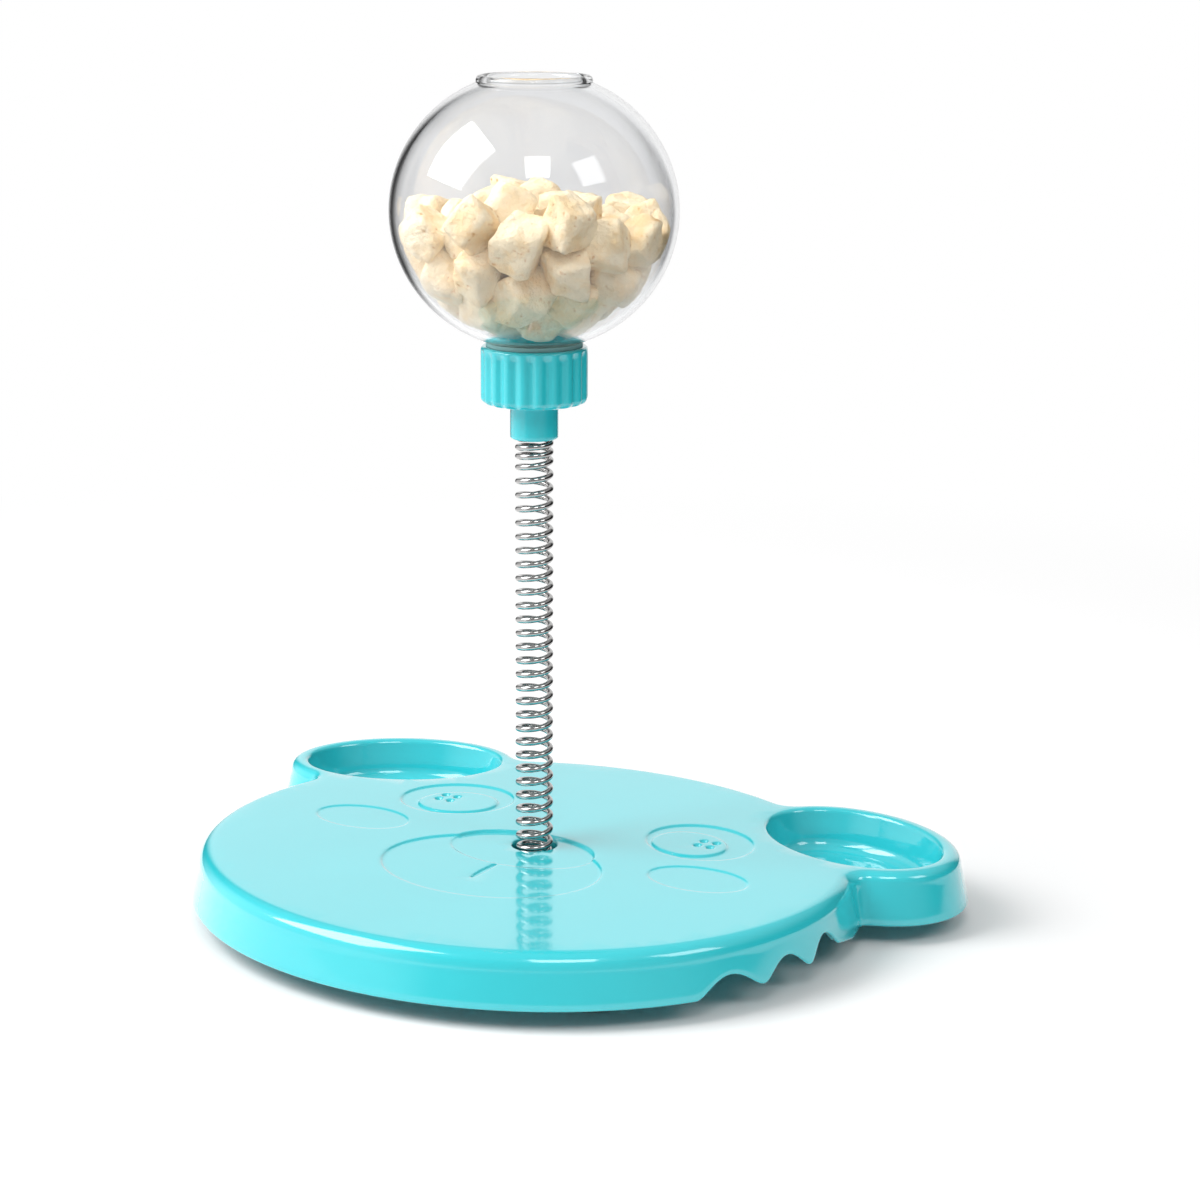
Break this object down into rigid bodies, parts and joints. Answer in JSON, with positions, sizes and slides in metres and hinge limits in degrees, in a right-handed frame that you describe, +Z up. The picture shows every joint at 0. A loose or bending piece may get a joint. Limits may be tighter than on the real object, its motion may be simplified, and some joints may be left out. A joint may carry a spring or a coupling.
{
  "type": "spring treat dispenser",
  "caption": "Pet toy: animal-face tray with ear bowls carries a coil spring, a ribbed screw cap and a clear open-topped ball that spills treats when swatted.",
  "frame": {"origin": "on the floor under the middle of the face-shaped base, which is the middle of the whole part's footprint", "axes": "+Z up along the spring, +Y towards the ears, +X towards the animal's left ear as one looks at the face from the front with the ears at the top"},
  "size_m": [0.2154, 0.1668, 0.2244],
  "materials": {
    "shell_plastic": "glossy moulded turquoise plastic",
    "clear_plastic": "clear polished plastic",
    "spring_steel": "polished nickel-plated wire",
    "screw_steel": "zinc-plated",
    "foot_rubber": "matt",
    "ring_rubber": "matt"
  },
  "bodies": {
    "base": {"base_shell": "shell_plastic", "foot_front_left": "foot_rubber", "foot_front_right": "foot_rubber", "foot_rear_left": "foot_rubber", "foot_rear_right": "foot_rubber", "anchor_plate": "shell_plastic", "anchor_screws": "screw_steel", "anchor_core_screw": "screw_steel"},
    "spring": {"coil_spring": "spring_steel"},
    "head": {"screw_cap": "shell_plastic", "cap_plug": "shell_plastic", "cap_plug_screw": "screw_steel"},
    "ring": {"neck_ring": "ring_rubber"},
    "ball": {"treat_ball": "clear_plastic"}
  },
  "joints": [
    {"name": "sway_side", "type": "hinge", "parent": "base", "child": "spring", "pos_m": [0, 0.005, 0.04725], "axis": [0, 1, 0], "range_deg": [-40, 40], "stiffness_Nm_per_rad": 0.15, "deforming": ["coil_spring"]},
    {"name": "sway_front", "type": "hinge", "parent": "spring", "child": "head", "pos_m": [0, 0.005, 0.10275], "axis": [1, 0, 0], "range_deg": [-40, 40], "stiffness_Nm_per_rad": 0.15, "deforming": ["coil_spring"]},
    {"name": "ball_lift", "type": "slide", "parent": "head", "child": "ring", "axis": [0, 0, 1], "range_m": [0, 0.0061]},
    {"name": "ball_turn", "type": "hinge", "parent": "ring", "child": "ball", "pos_m": [0, 0.005, 0.15], "axis": [0, 0, 1], "range_deg": [0, 540]}
  ],
  "couplings": [
    {"joint": "ball_lift", "follows": "ball_turn", "m_per_rad": 0.00063662}
  ]
}
